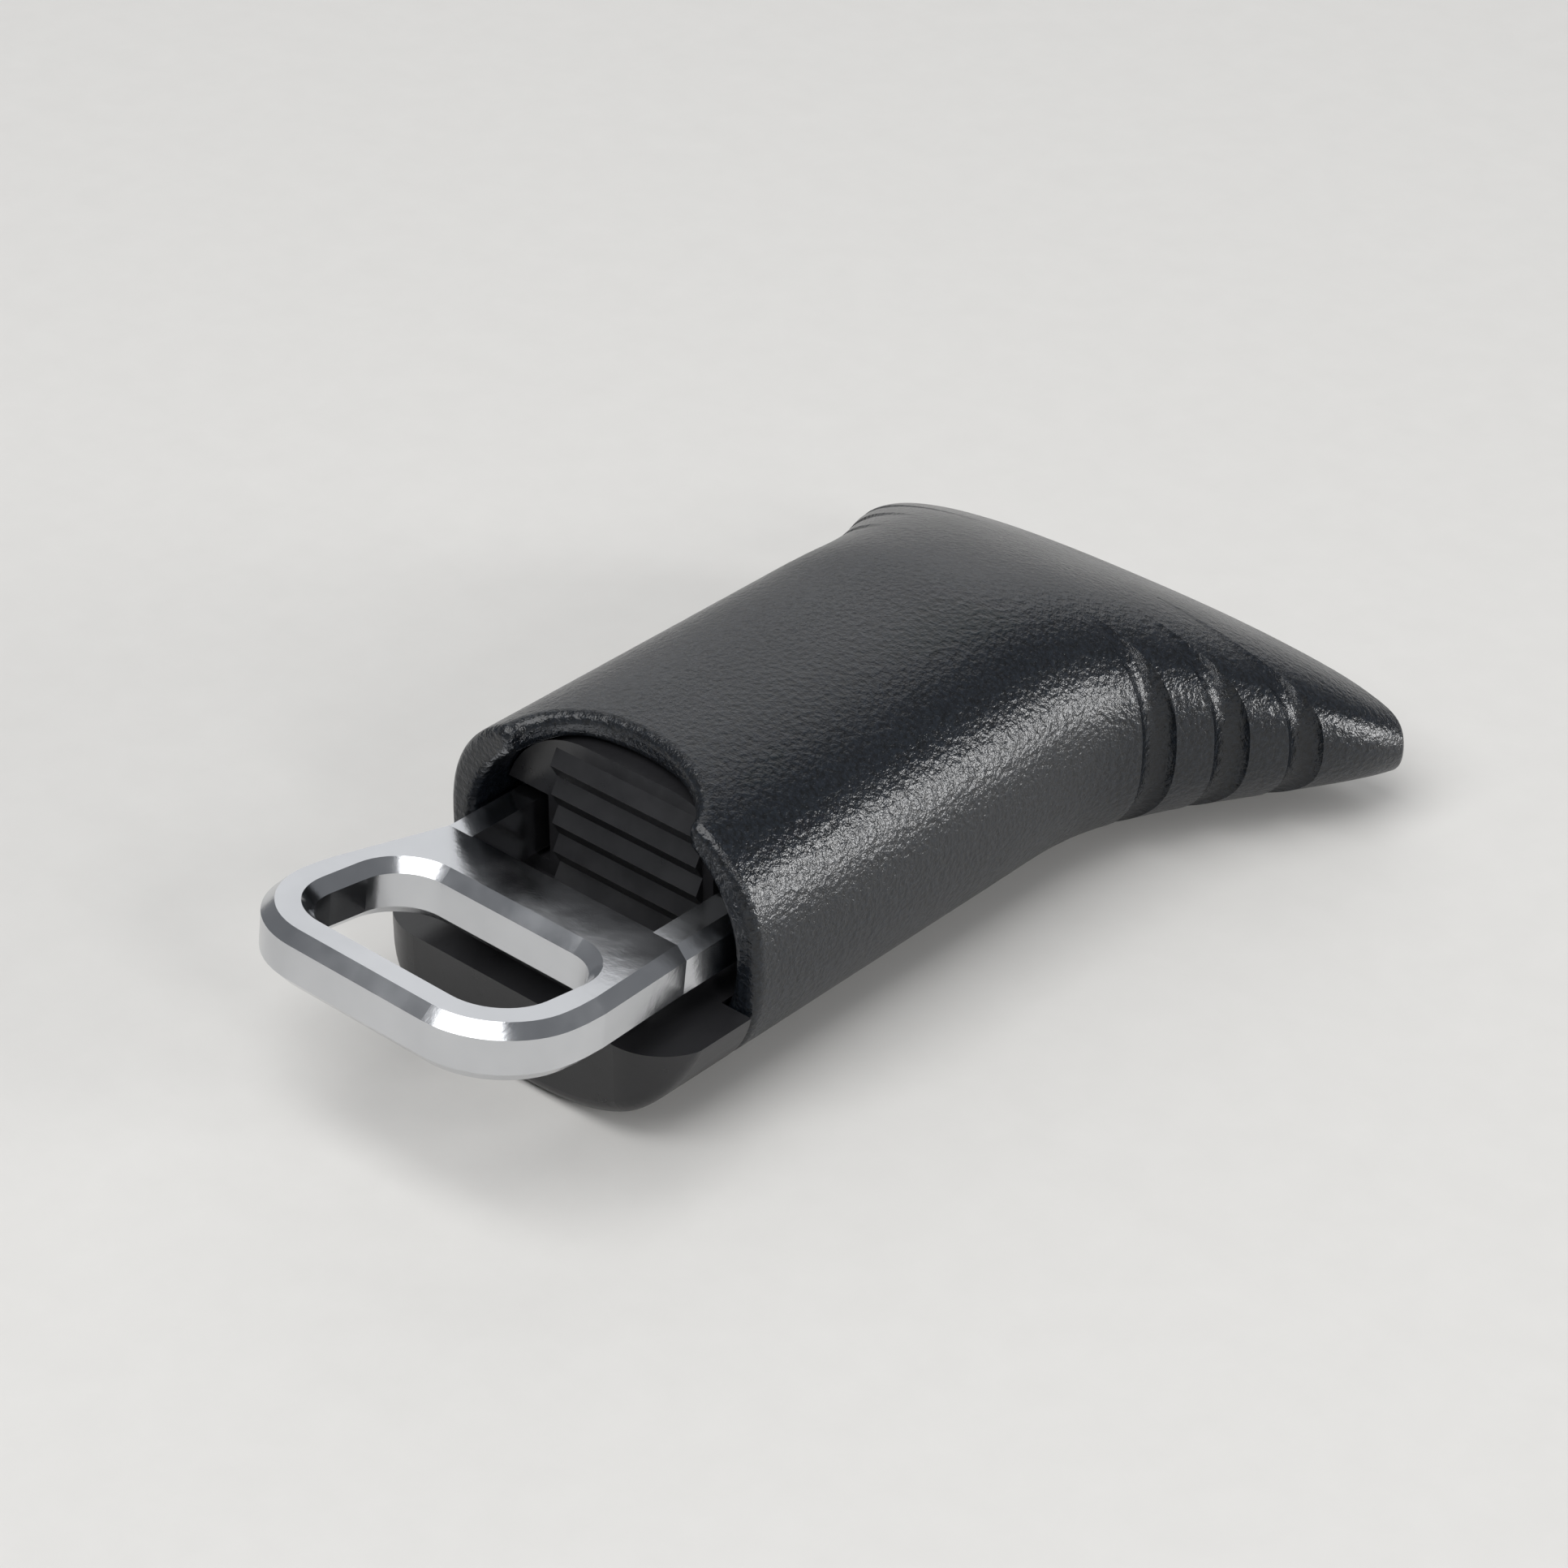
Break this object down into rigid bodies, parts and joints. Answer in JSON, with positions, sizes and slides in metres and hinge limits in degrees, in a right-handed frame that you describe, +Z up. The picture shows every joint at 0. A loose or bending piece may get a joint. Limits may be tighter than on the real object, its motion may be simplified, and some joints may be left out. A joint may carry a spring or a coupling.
{
  "type": "cord lock",
  "caption": "Pull-to-open cord lock: oval barrel with two grip ears, a sprung metal ring plunger that clamps paired cords, and a bar for webbing.",
  "frame": {"origin": "in the gap between the jaws, midway between the two cords, on the plunger's middle plane at the barrel's mouth", "axes": "+Z up along the cords, -Y out of the mouth towards the ring, +Y along the barrel towards the ears, +X right"},
  "size_m": [0.026, 0.0427, 0.0115],
  "materials": {
    "barrel_plastic": "finely textured moulded black",
    "frame_plastic": "smooth satin moulded black",
    "ring_metal": "polished plated zinc casting",
    "spring_steel": "drawn spring wire",
    "pin_steel": "drawn round bar",
    "crosshead_brass": "machined"
  },
  "bodies": {
    "housing": {"barrel_shell": "barrel_plastic", "core_frame": "frame_plastic", "frame_pin": "pin_steel", "webbing_bar": "pin_steel", "return_spring": "spring_steel"},
    "plunger": {"ring_plunger": "ring_metal", "crosshead": "crosshead_brass", "crosshead_pins": "pin_steel"}
  },
  "joints": [
    {"name": "ring_slide", "type": "slide", "parent": "housing", "child": "plunger", "axis": [0, -1, 0], "range_m": [-0.0024, 0.0034], "stiffness_N_per_m": 800, "deforming": ["return_spring"]}
  ]
}
